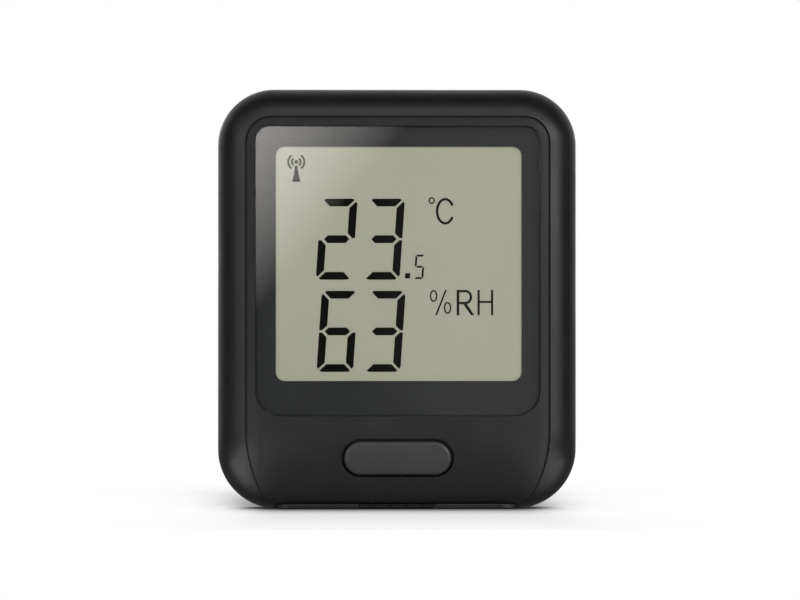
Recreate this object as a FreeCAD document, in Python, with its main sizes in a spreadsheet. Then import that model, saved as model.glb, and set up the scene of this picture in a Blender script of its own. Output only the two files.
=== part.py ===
import FreeCAD, Part
import math
import os
import Sketcher

# Wireless temperature and humidity data logger, in millimetres.
# X runs to the right as the display is read, Z runs up and the display faces -Y.
# The origin is the middle of the base. Depths are given as "forward" values, which
# are -Y: the back is at minus half the depth and the frame's highest edge at plus half.
# "face" is the plane that the frame's front is rounded from: its opening leaves none of it.

doc = FreeCAD.newDocument("DataLogger")
sheet = doc.addObject("Spreadsheet::Sheet", "Sizes")

# Cutting outlines run this far past a face that they open.
BEYOND = 1.0


class Size:
    """A length worked out from the cells of the sheet, kept as the sheet's own expression."""

    def __init__(self, text):
        self.text = str(text)

    def __add__(self, other):
        return Size("(" + self.text + " + " + written(other) + ")")

    def __radd__(self, other):
        return Size("(" + written(other) + " + " + self.text + ")")

    def __sub__(self, other):
        return Size("(" + self.text + " - " + written(other) + ")")

    def __rsub__(self, other):
        return Size("(" + written(other) + " - " + self.text + ")")

    def __mul__(self, other):
        return Size("(" + self.text + " * " + written(other) + ")")

    def __rmul__(self, other):
        return Size("(" + written(other) + " * " + self.text + ")")

    def __truediv__(self, other):
        return Size("(" + self.text + " / " + written(other) + ")")

    def __neg__(self):
        return Size("(0 - " + self.text + ")")


def written(length):
    if isinstance(length, Size):
        return length.text
    return "(" + str(length) + ")"


def now(length):
    """The present value of a length in millimetres."""
    return float(sheet.evalExpression(written(length)))


def root(length):
    return Size("sqrt" + "(" + written(length) + ")")


def bind(thing, property_name, length):
    thing.setExpression(property_name, written(length))


cell_names = []


def size(name, millimetres):
    cell_names.append(name)
    row = str(len(cell_names))
    sheet.set("A" + row, name)
    sheet.set("B" + row, str(millimetres))
    sheet.setAlias("B" + row, name)
    return Size("Sizes." + name)


# Case outline
case_width = size("case_width", 70)
case_height = size("case_height", 82)
case_depth = size("case_depth", 23)
top_corner = size("top_corner", 11)
foot_corner = size("foot_corner", 11.7)
shell_wall = size("shell_wall", 2)
front_depth = size("front_depth", 16.5)
rear_round = size("rear_round", 4)
seam_round = size("seam_round", 0.2)
rim_width = size("rim_width", 5.35)
rim_round = size("rim_round", 6.5)

# Front panel, set back in the frame, whose foot rolls back as a chin
panel_set = size("panel_set", 0.6)
panel_gap = size("panel_gap", 0.06)
panel_corner = size("panel_corner", 5)
panel_foot = size("panel_foot", 1.15)
panel_foot_corner = size("panel_foot_corner", 3.5)
panel_roll = size("panel_roll", 12)
roll_reach = size("roll_reach", 2.4)
side_curve = size("side_curve", 25.5)
side_start = size("side_start", 15.4)
chin_start = size("chin_start", 15.4)
chin_drop = size("chin_drop", 6)
skirt_wall = size("skirt_wall", 1.8)
skirt_depth = size("skirt_depth", 6.7)
ledge_proud = size("ledge_proud", 0.5)
ledge_width = size("ledge_width", 49)
ledge_corner = size("ledge_corner", 4)
ledge_round = size("ledge_round", 0.3)

# Seat of the front panel in the frame, and the lapped seam with the rear cover
flange_reach = size("flange_reach", 2)
flange_thick = size("flange_thick", 2)
gasket_thick = size("gasket_thick", 0.8)
lap_wall = size("lap_wall", 0.8)
lap_height = size("lap_height", 1.2)
lap_gap = size("lap_gap", 0.1)
seal_thick = size("seal_thick", 0.6)

# Display window, mask and liquid crystal cell
lens_side = size("lens_side", 1.95)
lens_above = size("lens_above", 1.95)
lens_foot = size("lens_foot", 18.35)
lens_corner = size("lens_corner", 2.7)
lens_foot_corner = size("lens_foot_corner", 4.9)
lens_thick = size("lens_thick", 1)
lens_gap = size("lens_gap", 0.1)
mask_thick = size("mask_thick", 0.2)
window_side = size("window_side", 3.8)
window_above = size("window_above", 3.95)
window_below = size("window_below", 6.75)
window_corner = size("window_corner", 1.8)
window_reveal = size("window_reveal", 0.5)
foam_thick = size("foam_thick", 0.3)
glass_margin = size("glass_margin", 1)
glass_thick = size("glass_thick", 2.2)
contact_ledge = size("contact_ledge", 2)
reflector_thick = size("reflector_thick", 0.4)
frame_wall = size("frame_wall", 1.1)
frame_fit = size("frame_fit", 0.1)

# Push button
slot_width = size("slot_width", 22)
slot_height = size("slot_height", 7.6)
slot_middle = size("slot_middle", 10.15)
button_gap = size("button_gap", 0.4)
button_flange = size("button_flange", 0.8)
button_fit = size("button_fit", 0.15)
button_sink = size("button_sink", 0.7)
button_curve = size("button_curve", 13)
button_crest = size("button_crest", 1.5)
button_edge = size("button_edge", 0.9)
button_travel = size("button_travel", 0.3)
cap_wall = size("cap_wall", 1)

# Main board and what stands on it
board_side = size("board_side", 9.5)
board_above = size("board_above", 8.6)
board_foot = size("board_foot", 4.4)
board_thick = size("board_thick", 1.2)
board_set = size("board_set", 8.7)
board_notch = size("board_notch", 3.3)
board_notch_height = size("board_notch_height", 8)
switch_width = size("switch_width", 4.5)
switch_tall = size("switch_tall", 2.8)
switch_floor = size("switch_floor", 0.9)
switch_room = size("switch_room", 0.6)
plunger_radius = size("plunger_radius", 1.2)
plunger_out = size("plunger_out", 0.6)
plunger_fit = size("plunger_fit", 0.1)

# Case screws and board screws
screw_side = size("screw_side", 8.7)
screw_foot = size("screw_foot", 8.5)
screw_top = size("screw_top", 8.4)
boss_radius = size("boss_radius", 3.2)
boss_clear = size("boss_clear", 0.2)
screw_radius = size("screw_radius", 1)
screw_fit = size("screw_fit", 0.1)
head_radius = size("head_radius", 2)
head_tall = size("head_tall", 1.4)
head_fit = size("head_fit", 0.3)
head_sink = size("head_sink", 3)
screw_bite = size("screw_bite", 6)
drive_radius = size("drive_radius", 0.9)
drive_wide = size("drive_wide", 0.45)
drive_deep = size("drive_deep", 0.8)

# Micro USB socket and its rubber bung
socket_width = size("socket_width", 7.6)
socket_deep = size("socket_deep", 2.8)
socket_tall = size("socket_tall", 5.6)
socket_foot = size("socket_foot", 3.2)
socket_wall = size("socket_wall", 0.35)
tongue_rise = size("tongue_rise", 1)
tongue_wide = size("tongue_wide", 4)
tongue_thick = size("tongue_thick", 0.5)
notch_width = size("notch_width", 15)
notch_behind = size("notch_behind", 1)
notch_corner = size("notch_corner", 1.5)
bung_gap = size("bung_gap", 0.15)
bung_lift = size("bung_lift", 0.35)
bung_plug = size("bung_plug", 3)
bung_fit = size("bung_fit", 0.1)
rib_pitch = size("rib_pitch", 3.2)
rib_deep = size("rib_deep", 0.35)
rib_wide = size("rib_wide", 0.8)

# Air vents in the base, and the sensor behind them
vent_side = size("vent_side", 19.5)
vent_pitch = size("vent_pitch", 2.2)
vent_width = size("vent_width", 1.1)
vent_length = size("vent_length", 3.6)
membrane_thick = size("membrane_thick", 0.3)
membrane_edge = size("membrane_edge", 0.4)
membrane_gap = size("membrane_gap", 0.2)
sensor_width = size("sensor_width", 10)
sensor_deep = size("sensor_deep", 5)
sensor_height = size("sensor_height", 6)
sensor_thick = size("sensor_thick", 0.8)
sensor_chip = size("sensor_chip", 3)
sensor_chip_tall = size("sensor_chip_tall", 1)
header_width = size("header_width", 6.6)
header_tall = size("header_tall", 2)

# Keyhole hangers in the back
keyhole_side = size("keyhole_side", 20)
keyhole_above = size("keyhole_above", 23.5)
keyhole_entry = size("keyhole_entry", 4.2)
keyhole_slot = size("keyhole_slot", 4.4)
keyhole_rise = size("keyhole_rise", 7)
keyhole_lip = size("keyhole_lip", 1.5)
keyhole_deep = size("keyhole_deep", 3.9)
keyhole_wall = size("keyhole_wall", 1.2)

# Battery
battery_side = size("battery_side", 10)
battery_above = size("battery_above", 33)
battery_thick = size("battery_thick", 5)
battery_foot = size("battery_foot", 15)
battery_round = size("battery_round", 1.5)
tape_thick = size("tape_thick", 0.5)
tape_edge = size("tape_edge", 6)
tab_width = size("tab_width", 9)
tab_height = size("tab_height", 3)
tab_thick = size("tab_thick", 1.6)
tab_side = size("tab_side", 6)
lead_radius = size("lead_radius", 0.6)
lead_pitch = size("lead_pitch", 2)
lead_bend = size("lead_bend", 2)
lead_start = size("lead_start", 1.5)
plug_width = size("plug_width", 6.6)
plug_height = size("plug_height", 4.5)
plug_tall = size("plug_tall", 3.8)

# Electronic parts on the back of the board
radio_width = size("radio_width", 16)
radio_height = size("radio_height", 22)
radio_thick = size("radio_thick", 0.8)
radio_left = size("radio_left", 1)
radio_above = size("radio_above", 2.4)
can_height = size("can_height", 14.5)
can_tall = size("can_tall", 2)
can_edge = size("can_edge", 0.7)
antenna_width = size("antenna_width", 9)
antenna_height = size("antenna_height", 2.6)
antenna_tall = size("antenna_tall", 1.2)
antenna_edge = size("antenna_edge", 1.2)
processor_width = size("processor_width", 7)
processor_tall = size("processor_tall", 0.9)
processor_side = size("processor_side", 9)
processor_height = size("processor_height", 33)
memory_width = size("memory_width", 5.2)
memory_height = size("memory_height", 4)
memory_tall = size("memory_tall", 1.5)
memory_side = size("memory_side", 8)
memory_level = size("memory_level", 34)
crystal_width = size("crystal_width", 3.2)
crystal_height = size("crystal_height", 1.5)
crystal_tall = size("crystal_tall", 0.8)
crystal_gap = size("crystal_gap", 2)

# Snap hooks, board bosses and pegs
hook_leg = size("hook_leg", 1.1)
hook_width = size("hook_width", 6)
hook_barb = size("hook_barb", 0.9)
hook_tip = size("hook_tip", 0.3)
hook_barb_deep = size("hook_barb_deep", 1.2)
hook_gap = size("hook_gap", 0.2)
hook_low = size("hook_low", 30)
hook_above = size("hook_above", 22)
stand_edge = size("stand_edge", 15)
stand_height = size("stand_height", 17.5)
stand_radius = size("stand_radius", 2.2)
stand_root = size("stand_root", 0.5)
small_screw_radius = size("small_screw_radius", 0.9)
small_screw_bite = size("small_screw_bite", 4)
small_head_radius = size("small_head_radius", 1.7)
small_head_tall = size("small_head_tall", 1)
peg_side = size("peg_side", 1.3)
peg_rise = size("peg_rise", 4)
peg_radius = size("peg_radius", 0.8)
peg_fit = size("peg_fit", 0.1)
peg_out = size("peg_out", 0.5)

doc.recompute()

half_width = case_width / 2
rim_inner = rim_round - rim_width + panel_gap
rim_loss = rim_round - root(rim_round * rim_round - rim_inner * rim_inner)
face = case_depth / 2 + rim_loss
back = -case_depth / 2
inside = back + shell_wall
seam = face - front_depth
panel_face = face - panel_set
skirt_end = panel_face - skirt_depth
flange_front = skirt_end - gasket_thick
flange_back = flange_front - flange_thick
chin_foot = face - chin_drop
ledge_front = chin_foot + ledge_proud
ledge_rear = ledge_front - ledge_corner - shell_wall
ledge_top = panel_foot - panel_gap
panel_back = panel_face - shell_wall
pane_back = panel_face - lens_thick
mask_back = pane_back - mask_thick
lens_width = case_width - 2 * (rim_width + lens_side)
lens_top = case_height - rim_width - lens_above
window_width = lens_width - 2 * window_side
window_foot = lens_foot + window_below
window_top = lens_top - window_above
glass_front = panel_back - foam_thick
glass_back = glass_front - glass_thick
reflector_back = glass_back - reflector_thick
board_front = panel_face - board_set
board_back = board_front - board_thick
board_top = case_height - board_above
switch_front = board_front + switch_tall
plunger_front = switch_front + plunger_out
socket_front = board_back
socket_back = board_back - socket_deep
notch_back = socket_back - notch_behind
vent_middle = half_width - vent_side
vent_forward = flange_back - membrane_gap - membrane_edge - vent_length / 2
keyhole_height = case_height - keyhole_above
battery_width = case_width - 2 * battery_side
battery_back = inside + tape_thick
battery_front = battery_back + battery_thick
battery_top = case_height - battery_above
radio_foot = board_top - radio_above - radio_height
MIRROR = (-1, 1)
VENTS = 5
RIBS = 4


def origin_plane(body, role):
    for feature in body.Origin.OriginFeatures:
        if feature.Role == role:
            return feature
    raise ValueError("no origin plane " + role)


def new_body(name):
    return doc.addObject("PartDesign::Body", name)


def new_sketch(body, name, plane, level):
    """A sketch on one of the body's origin planes, lifted to the given level along its normal."""
    sketch = body.newObject("Sketcher::SketchObject", name)
    sketch.AttachmentSupport = (origin_plane(body, plane), "")
    sketch.MapMode = "FlatFace"
    bind(sketch, "AttachmentOffset.Base.z", level)
    return sketch


def hold(sketch, kind, geometry, point, length, name):
    """Holds a point of the sketch at a distance from the sketch's origin."""
    index = sketch.addConstraint(Sketcher.Constraint(kind, -1, 1, geometry, point, now(length)))
    sketch.renameConstraint(index, name)
    bind(sketch, "Constraints." + name, length)


def draw(sketch, corners):
    """A closed outline through corners (x, y); (x, y, centre x, centre y) starts an arc."""
    spots = [(now(corner[0]), now(corner[1])) for corner in corners]
    edges = []
    for number, corner in enumerate(corners):
        start = spots[number]
        end = spots[(number + 1) % len(spots)]
        if len(corner) == 2:
            line = Part.LineSegment(FreeCAD.Vector(*start, 0), FreeCAD.Vector(*end, 0))
            edges.append((sketch.addGeometry(line), 1, 2))
            continue
        centre = (now(corner[2]), now(corner[3]))
        from_centre = (start[0] - centre[0], start[1] - centre[1])
        to_end = (end[0] - centre[0], end[1] - centre[1])
        circle = Part.Circle(FreeCAD.Vector(*centre, 0), FreeCAD.Vector(0, 0, 1), math.hypot(*from_centre))
        start_angle = math.atan2(from_centre[1], from_centre[0])
        end_angle = math.atan2(to_end[1], to_end[0])
        clockwise = from_centre[0] * to_end[1] - from_centre[1] * to_end[0] < -1e-6
        if clockwise:
            arc = Part.ArcOfCircle(circle, end_angle, start_angle)
            edges.append((sketch.addGeometry(arc), 2, 1))
        else:
            arc = Part.ArcOfCircle(circle, start_angle, end_angle)
            edges.append((sketch.addGeometry(arc), 1, 2))
    for number, edge in enumerate(edges):
        follow = edges[(number + 1) % len(edges)]
        sketch.addConstraint(Sketcher.Constraint("Coincident", edge[0], edge[2], follow[0], follow[1]))
    for number, corner in enumerate(corners):
        geometry, first, last = edges[number]
        tag = str(geometry)
        hold(sketch, "DistanceX", geometry, first, corner[0], "x" + tag)
        hold(sketch, "DistanceY", geometry, first, corner[1], "y" + tag)
        if len(corner) == 4:
            start = spots[number]
            end = spots[(number + 1) % len(spots)]
            if abs(end[1] - start[1]) >= abs(end[0] - start[0]):
                hold(sketch, "DistanceX", geometry, 3, corner[2], "centre" + tag)
            else:
                hold(sketch, "DistanceY", geometry, 3, corner[3], "centre" + tag)


def draw_circle(sketch, x, y, radius):
    circle = Part.Circle(FreeCAD.Vector(now(x), now(y), 0), FreeCAD.Vector(0, 0, 1), now(radius))
    geometry = sketch.addGeometry(circle)
    tag = str(geometry)
    hold(sketch, "DistanceX", geometry, 3, x, "x" + tag)
    hold(sketch, "DistanceY", geometry, 3, y, "y" + tag)
    index = sketch.addConstraint(Sketcher.Constraint("Radius", geometry, now(radius)))
    sketch.renameConstraint(index, "radius" + tag)
    bind(sketch, "Constraints.radius" + tag, radius)


def fill(sketch, outlines):
    """Draws every outline: three values are a circle's middle and radius."""
    for outline in outlines:
        if isinstance(outline, tuple):
            draw_circle(sketch, *outline)
        else:
            draw(sketch, outline)


cuts = []


def add(body, name, start, end, outlines, plane="XZ_Plane"):
    """Fills the outlines from one level to the other, forward, or upward on XY_Plane."""
    sketch = new_sketch(body, body.Name + "_" + name + "_sketch", plane, start)
    fill(sketch, outlines)
    feature = body.newObject("PartDesign::Pad", body.Name + "_" + name)
    feature.Profile = sketch
    bind(feature, "Length", end - start)
    return feature


def cut(body, name, start, end, outlines, plane="XZ_Plane"):
    """Cuts the outlines out between the two levels."""
    sketch = new_sketch(body, body.Name + "_" + name + "_sketch", plane, end)
    fill(sketch, outlines)
    feature = body.newObject("PartDesign::Pocket", body.Name + "_" + name)
    feature.Profile = sketch
    bind(feature, "Length", end - start)
    cuts.append(feature)
    return feature


def add_across(body, name, corners, width):
    """Fills a side-view outline, as far to the left as to the right."""
    sketch = new_sketch(body, body.Name + "_" + name + "_sketch", "YZ_Plane", Size(0))
    fill(sketch, [corners])
    feature = body.newObject("PartDesign::Pad", body.Name + "_" + name)
    feature.Profile = sketch
    feature.SideType = "Symmetric"
    bind(feature, "Length", width)
    return feature


def cut_across(body, name, corners, width):
    """Cuts a side-view outline through the body, as far to the left as to the right."""
    sketch = new_sketch(body, body.Name + "_" + name + "_sketch", "YZ_Plane", Size(0))
    fill(sketch, [corners])
    feature = body.newObject("PartDesign::Pocket", body.Name + "_" + name)
    feature.Profile = sketch
    feature.SideType = "Symmetric"
    bind(feature, "Length", width)
    cuts.append(feature)
    return feature


def round_edges(body, name, radius, wanted):
    """Rounds the edges of the body's present shape that the test wants."""
    doc.recompute()
    base = body.Tip
    names = []
    for number, edge in enumerate(base.Shape.Edges):
        if wanted(edge):
            names.append("Edge" + str(number + 1))
    feature = body.newObject("PartDesign::Fillet", body.Name + "_" + name)
    feature.Base = (base, names)
    bind(feature, "Radius", radius)
    return feature


def rounded(left, right, low, high, low_radius, high_radius):
    return [
        (left + low_radius, low),
        (right - low_radius, low, right - low_radius, low + low_radius),
        (right, low + low_radius),
        (right, high - high_radius, right - high_radius, high - high_radius),
        (right - high_radius, high),
        (left + high_radius, high, left + high_radius, high - high_radius),
        (left, high - high_radius),
        (left, low + low_radius, left + low_radius, low + low_radius),
    ]


def square(left, right, low, high):
    return [(left, low), (right, low), (right, high), (left, high)]


def centred(width, low, high):
    return square(-width / 2, width / 2, low, high)


def circles(places, radius):
    return [(x, z, radius) for x, z in places]


def stadium(middle_x, middle_y, width, height):
    reach = (width - height) / 2
    return [
        (middle_x - reach, middle_y - height / 2),
        (middle_x + reach, middle_y - height / 2, middle_x + reach, middle_y),
        (middle_x + reach, middle_y + height / 2),
        (middle_x - reach, middle_y + height / 2, middle_x - reach, middle_y),
    ]


def upright(middle_x, low, high, width):
    """A standing slot with round ends."""
    half = width / 2
    return [
        (middle_x + half, low + half),
        (middle_x + half, high - half, middle_x, high - half),
        (middle_x - half, high - half),
        (middle_x - half, low + half, middle_x, low + half),
    ]


def case_outline(inset):
    return rounded(inset - half_width, half_width - inset, inset, case_height - inset,
                   foot_corner - inset, top_corner - inset)


def panel_outline(inset):
    """The front panel's edge, moved inwards by the inset: straight sides that curve in below."""
    half = half_width - rim_width - inset
    top = case_height - rim_width - inset
    corner = panel_corner - inset
    curve = side_curve - inset
    foot = panel_foot + inset
    curve_x = half_width - rim_width - side_curve
    reach = side_curve - panel_foot_corner
    fall = side_start - panel_foot - panel_foot_corner
    corner_x = curve_x + root(reach * reach - fall * fall)
    corner_z = panel_foot + panel_foot_corner
    meet_x = curve_x + (corner_x - curve_x) * curve / reach
    meet_z = side_start - fall * curve / reach
    return [
        (-corner_x, foot),
        (corner_x, foot, corner_x, corner_z),
        (meet_x, meet_z, curve_x, side_start),
        (half, side_start),
        (half, top - corner, half - corner, top - corner),
        (half - corner, top),
        (corner - half, top, corner - half, top - corner),
        (-half, top - corner),
        (-half, side_start, -curve_x, side_start),
        (-meet_x, meet_z, -corner_x, corner_z),
    ]


def chin_radius(front):
    """Radius of the chin that leaves the given front level and ends at the panel's foot."""
    fall = chin_start - panel_foot
    drop = front - chin_foot
    return (fall * fall + drop * drop) / (2 * drop)


def chin_outline(front, inset, low):
    """Side view of what is taken off in front of a chin, down to the given height."""
    radius = chin_radius(front) - inset
    fall = chin_start - low
    middle_forward = front - chin_radius(front)
    low_forward = middle_forward + root(radius * radius - fall * fall)
    ahead = -(face + BEYOND)
    return [
        (inset - front, chin_start, -middle_forward, chin_start),
        (-low_forward, low),
        (-low_forward, low - BEYOND),
        (ahead, low - BEYOND),
        (ahead, chin_start),
    ]


def middle(edge):
    return edge.valueAt((edge.FirstParameter + edge.LastParameter) / 2)


def near(first, second):
    return abs(first - second) < 1e-4


def lens_outline(inset):
    half = lens_width / 2 - inset
    return rounded(-half, half, lens_foot + inset, lens_top - inset,
                   lens_foot_corner - inset, lens_corner - inset)


def window_outline(outset):
    half = window_width / 2 + outset
    return rounded(-half, half, window_foot - outset, window_top + outset,
                   window_corner + outset, window_corner + outset)


def glass_outline(outset):
    """The display cell: the window, its margin and the contact ledge below."""
    half = window_width / 2 + glass_margin + outset
    low = window_foot - glass_margin - contact_ledge - outset
    return centred(2 * half, low, window_top + glass_margin + outset)


def screw_places():
    side = half_width - screw_side
    return [(sign * side, height) for sign in MIRROR for height in (screw_foot, case_height - screw_top)]


def stand_places():
    side = half_width - stand_edge
    return [(sign * side, stand_height) for sign in MIRROR]


def peg_places():
    side = window_width / 2 + glass_margin - peg_side
    low = window_foot + peg_rise
    high = window_top - peg_rise
    return [(sign * side, height) for sign in MIRROR for height in (low, high)]


def block(name, left, right, rear, front, low, high):
    box = doc.addObject("Part::Box", name)
    bind(box, "Length", right - left)
    bind(box, "Width", front - rear)
    bind(box, "Height", high - low)
    bind(box, "Placement.Base.x", left)
    bind(box, "Placement.Base.y", -front)
    bind(box, "Placement.Base.z", low)
    return box


def cut_away(name, whole, taken):
    result = doc.addObject("Part::Cut", name)
    result.Base = whole
    result.Tool = taken
    return result


def joined(name, shapes):
    result = doc.addObject("Part::MultiFuse", name)
    result.Shapes = shapes
    return result


def on_front(edge, front):
    """An edge of a block's front, on the plane or the chin, but not the line between them."""
    spot = middle(edge)
    first = edge.Vertexes[0].Point
    last = edge.Vertexes[-1].Point
    if near(first.z, now(chin_start)) and near(last.z, now(chin_start)):
        return False
    if near(-spot.y, now(front)):
        return True
    reach = math.hypot(-spot.y - now(front - chin_radius(front)), spot.z - now(chin_start))
    return near(reach, now(chin_radius(front))) and spot.z < now(chin_start)


def around_ledge(edge):
    """A level edge of the thin foot, other than the one inside the wall."""
    first = edge.Vertexes[0].Point
    last = edge.Vertexes[-1].Point
    return near(first.z, last.z) and not near(-middle(edge).y, now(ledge_rear))


def ledge_outline():
    """Plan of the thin foot under the chin, on the body's level plane, with round front corners."""
    half = ledge_width / 2
    ahead = -ledge_front
    behind = -ledge_rear
    return [
        (-half, behind),
        (-half, ahead + ledge_corner, ledge_corner - half, ahead + ledge_corner),
        (ledge_corner - half, ahead),
        (half - ledge_corner, ahead, half - ledge_corner, ahead + ledge_corner),
        (half, ahead + ledge_corner),
        (half, behind),
    ]


def notch_outline(inset, ahead):
    """Plan of the recess for the bung, open to the front."""
    half = notch_width / 2 - inset
    behind = -notch_back - inset
    corner = notch_corner - inset
    return [
        (-half, -ahead),
        (half, -ahead),
        (half, behind - corner, half - corner, behind - corner),
        (half - corner, behind),
        (corner - half, behind, corner - half, behind - corner),
        (-half, behind - corner),
    ]


def frame_ring():
    shell = new_body("frame_ring_shell")
    add(shell, "block", seam, face, [case_outline(0)])
    cut_across(shell, "chin", chin_outline(face, 0, 0), case_width + BEYOND)
    round_edges(shell, "rim", rim_round, lambda edge: on_front(edge, face))
    round_edges(shell, "seam", seam_round, lambda edge: near(-middle(edge).y, now(seam)))
    cut(shell, "opening", flange_front, face + BEYOND, [panel_outline(-panel_gap)])
    cut(shell, "throat", flange_back - BEYOND, face + BEYOND, [panel_outline(flange_reach)])
    cut(shell, "hollow", seam - BEYOND, flange_back, [case_outline(shell_wall)])
    cut(shell, "rebate", seam - BEYOND, seam + lap_height + seal_thick,
        [case_outline(shell_wall - lap_wall - lap_gap)])
    add(shell, "bosses", seam, board_front - boss_clear, circles(screw_places(), boss_radius))
    cut(shell, "pilots", seam - BEYOND, seam + screw_bite + screw_fit,
        circles(screw_places(), screw_radius + screw_fit))
    ledge = new_body("frame_ring_ledge")
    add(ledge, "foot", Size(0), ledge_top, [ledge_outline()], "XY_Plane")
    round_edges(ledge, "edges", ledge_round, around_ledge)
    notch = new_body("frame_ring_notch")
    add(notch, "recess", Size(-BEYOND), shell_wall, [notch_outline(Size(0), face + BEYOND)], "XY_Plane")
    vents = new_body("frame_ring_vents")
    slots = []
    for number in range(VENTS):
        middle_x = vent_middle + (number - (VENTS - 1) / 2) * vent_pitch
        slots.append(upright(middle_x, -vent_forward - vent_length / 2,
                             vent_length / 2 - vent_forward, vent_width))
    add(vents, "slots", Size(-BEYOND), shell_wall + BEYOND, slots, "XY_Plane")
    openings = joined("frame_ring_openings", [notch, vents])
    return cut_away("frame_ring", joined("frame_ring_solid", [shell, ledge]), openings)


def hook_outline(sign):
    """Plan of a snap hook that grips behind the frame's flange, seen from above."""
    inner = half_width - rim_width - flange_reach - hook_gap - hook_leg
    outer = inner + hook_leg
    wall = half_width - rim_width - skirt_wall / 2
    tip = flange_back - hook_gap
    corners = [
        (inner, -panel_back),
        (wall, -panel_back),
        (wall, -skirt_end),
        (outer, -skirt_end),
        (outer, -tip),
        (outer + hook_barb, -tip),
        (outer + hook_tip, hook_barb_deep - tip),
        (inner, hook_barb_deep - tip),
    ]
    return [(sign * x, y) for x, y in corners]


def front_cover_plate():
    """The panel's crowned front, made larger all round so that its steep outer edge is trimmed off."""
    trim = panel_roll - roll_reach
    half = half_width - rim_width + trim
    top = case_height - rim_width + trim
    low = chin_start - chin_radius(panel_face)
    middle_forward = panel_face - chin_radius(panel_face)
    plate = new_body("front_cover_plate")
    add_across(plate, "block", [
        (-panel_face, top),
        (BEYOND - middle_forward, top),
        (BEYOND - middle_forward, low),
        (-middle_forward, low, -middle_forward, chin_start),
        (-panel_face, chin_start),
    ], 2 * half)
    round_edges(plate, "corners", panel_corner + trim, lambda edge: near(middle(edge).z, now(top))
                and near(abs(middle(edge).x), now(half)))
    round_edges(plate, "crown", panel_roll, lambda edge: on_front(edge, panel_face))
    return plate


def front_cover():
    prism = new_body("front_cover_prism")
    add(prism, "block", skirt_end, panel_face + BEYOND, [panel_outline(0)])
    form = doc.addObject("Part::Common", "front_cover_form")
    form.Base = front_cover_plate()
    form.Tool = prism
    cavity = new_body("front_cover_cavity")
    add(cavity, "block", skirt_end - BEYOND, panel_back, [panel_outline(skirt_wall)])
    cut_across(cavity, "chin", chin_outline(panel_face, shell_wall, 0), case_width + BEYOND)
    shell = cut_away("front_cover_shell", form, cavity)
    stands = new_body("front_cover_stands")
    add(stands, "posts", board_front, panel_back + stand_root, circles(stand_places(), stand_radius))
    hooks = []
    for sign in MIRROR:
        for height in (hook_low, case_height - hook_above):
            hook = new_body("front_cover_hook")
            add(hook, "profile", height - hook_width / 2, height + hook_width / 2,
                [hook_outline(sign)], "XY_Plane")
            hooks.append(hook)
    solid = joined("front_cover_solid", [shell, stands] + hooks)
    openings = new_body("front_cover_openings")
    add(openings, "lens", mask_back, face + BEYOND, [lens_outline(-lens_gap)])
    add(openings, "window", panel_back - BEYOND, face + BEYOND, [window_outline(window_reveal)])
    slot = new_body("front_cover_slot")
    add(slot, "slot", skirt_end, face + BEYOND, [stadium(Size(0), slot_middle, slot_width, slot_height)])
    pilots = new_body("front_cover_pilots")
    add(pilots, "holes", board_front - BEYOND, board_front + small_screw_bite + screw_fit,
        circles(stand_places(), small_screw_radius + screw_fit))
    return cut_away("front_cover", solid, joined("front_cover_cuts", [openings, slot, pilots]))


def rear_cover():
    body = new_body("rear_cover")
    add(body, "block", back, seam, [case_outline(0)])
    round_edges(body, "round", rear_round, lambda edge: near(-middle(edge).y, now(back)))
    round_edges(body, "seam", seam_round, lambda edge: near(-middle(edge).y, now(seam)))
    cut(body, "hollow", inside, seam + BEYOND, [case_outline(shell_wall)])
    add(body, "lap", seam - lap_height, seam + lap_height,
        [case_outline(shell_wall - lap_wall), case_outline(shell_wall)])
    add(body, "bosses", inside, seam, circles(screw_places(), boss_radius))
    floor = back + keyhole_deep
    low = keyhole_height - keyhole_entry
    high = keyhole_height + keyhole_rise + keyhole_entry
    for sign in MIRROR:
        side = "left" if sign < 0 else "right"
        middle_x = sign * keyhole_side
        slot_low = keyhole_height - keyhole_slot / 2
        slot_high = keyhole_height + keyhole_rise + keyhole_slot / 2
        add(body, side + "_hanger", inside, floor + keyhole_wall,
            [upright(middle_x, low - keyhole_wall, high + keyhole_wall, 2 * (keyhole_entry + keyhole_wall))])
        cut(body, side + "_entry", back - BEYOND, back + keyhole_lip + lap_gap,
            [(middle_x, keyhole_height, keyhole_entry)])
        cut(body, side + "_slot", back - BEYOND, back + keyhole_lip + lap_gap,
            [upright(middle_x, slot_low, slot_high, keyhole_slot)])
        cut(body, side + "_head_space", back + keyhole_lip, floor,
            [upright(middle_x, low, high, 2 * keyhole_entry)])
    cut(body, "screw_holes", back - BEYOND, seam + BEYOND,
        circles(screw_places(), screw_radius + screw_fit))
    cut(body, "head_holes", back - BEYOND, back + head_sink,
        circles(screw_places(), head_radius + head_fit))
    return body


def front_gasket():
    body = new_body("front_gasket")
    add(body, "ring", flange_front, skirt_end,
        [panel_outline(lap_gap), panel_outline(skirt_wall - lap_gap)])
    return body


def rear_gasket():
    body = new_body("rear_gasket")
    outer = shell_wall - lap_wall - lap_gap / 2
    add(body, "ring", seam + lap_height, seam + lap_height + seal_thick,
        [case_outline(outer), case_outline(outer + lap_wall)])
    return body


def display_window():
    body = new_body("display_window")
    add(body, "pane", pane_back, panel_face, [lens_outline(0)])
    return body


def window_mask():
    body = new_body("window_mask")
    add(body, "film", mask_back, pane_back, [lens_outline(lens_gap), window_outline(0)])
    return body


def display_gasket():
    body = new_body("display_gasket")
    add(body, "foam", glass_front, panel_back, [glass_outline(-frame_fit), window_outline(window_reveal)])
    return body


def lcd_glass():
    body = new_body("lcd_glass")
    add(body, "cell", glass_back, glass_front, [glass_outline(0)])
    return body


def lcd_reflector():
    body = new_body("lcd_reflector")
    half = window_width / 2 + glass_margin
    low = window_foot - glass_margin
    add(body, "film", reflector_back, glass_back,
        [centred(2 * half, low, window_top + glass_margin)])
    return body


def contact_low():
    return window_foot - glass_margin - contact_ledge + frame_fit


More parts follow.
